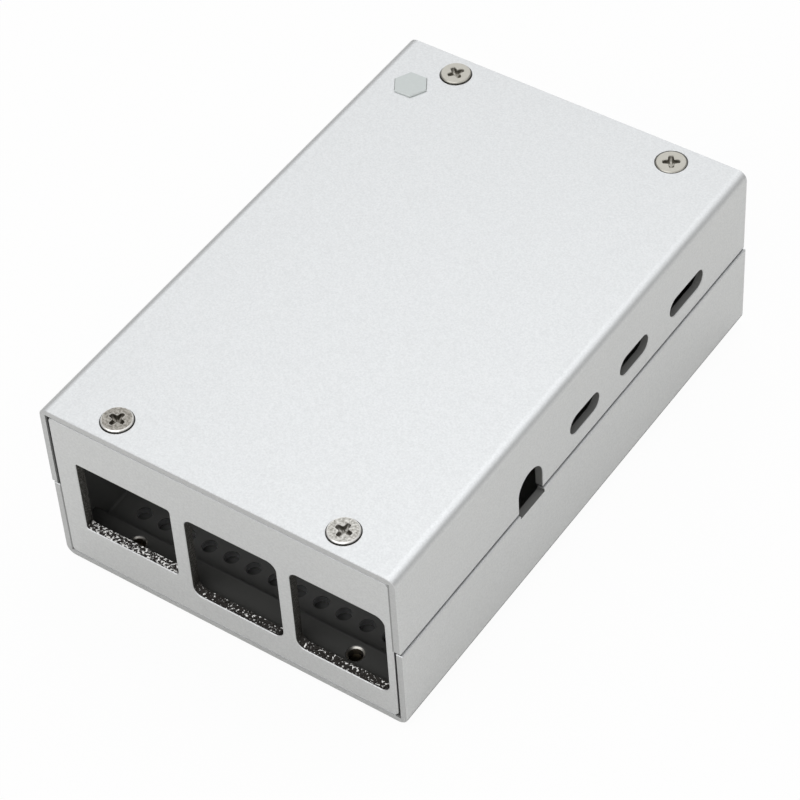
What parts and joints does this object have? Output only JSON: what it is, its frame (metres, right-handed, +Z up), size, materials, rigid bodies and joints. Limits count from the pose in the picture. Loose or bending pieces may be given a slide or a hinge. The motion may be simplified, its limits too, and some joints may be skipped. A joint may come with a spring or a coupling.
{
  "type": "single-board computer case",
  "caption": "Flat aluminium case for a single-board computer: folded base shell with board posts, folded vented lid and end panels with port windows, held by countersunk screws.",
  "frame": {"origin": "middle of the case's length and width, in the plane under the heads of the lid's screws, on which the case rests", "axes": "+X across the case towards the side with the power, video and audio openings, +Y along it from the USB and network windows to the card slot, +Z up from the vented lid to the base shell that carries the board posts"},
  "size_m": [0.0606, 0.0926, 0.0316],
  "materials": {
    "anodised_sheet": "fine bead-blasted and clear anodised, black inside",
    "anodised_profile": "fine bead-blasted and clear anodised, black inside, windows left as milled",
    "screw_steel": "nickel-plated, slightly mottled",
    "post_steel": "zinc-plated, satin"
  },
  "bodies": {
    "root": {"base_shell": "anodised_sheet", "vented_lid": "anodised_sheet", "port_panel": "anodised_profile", "card_panel": "anodised_profile", "base_screw_1": "screw_steel", "base_screw_2": "screw_steel", "base_screw_3": "screw_steel", "base_screw_4": "screw_steel", "lid_screw_1": "screw_steel", "lid_screw_2": "screw_steel", "lid_screw_3": "screw_steel", "lid_screw_4": "screw_steel", "hex_post": "post_steel", "board_post_1": "post_steel", "board_post_2": "post_steel", "board_post_3": "post_steel"}
  },
  "joints": []
}
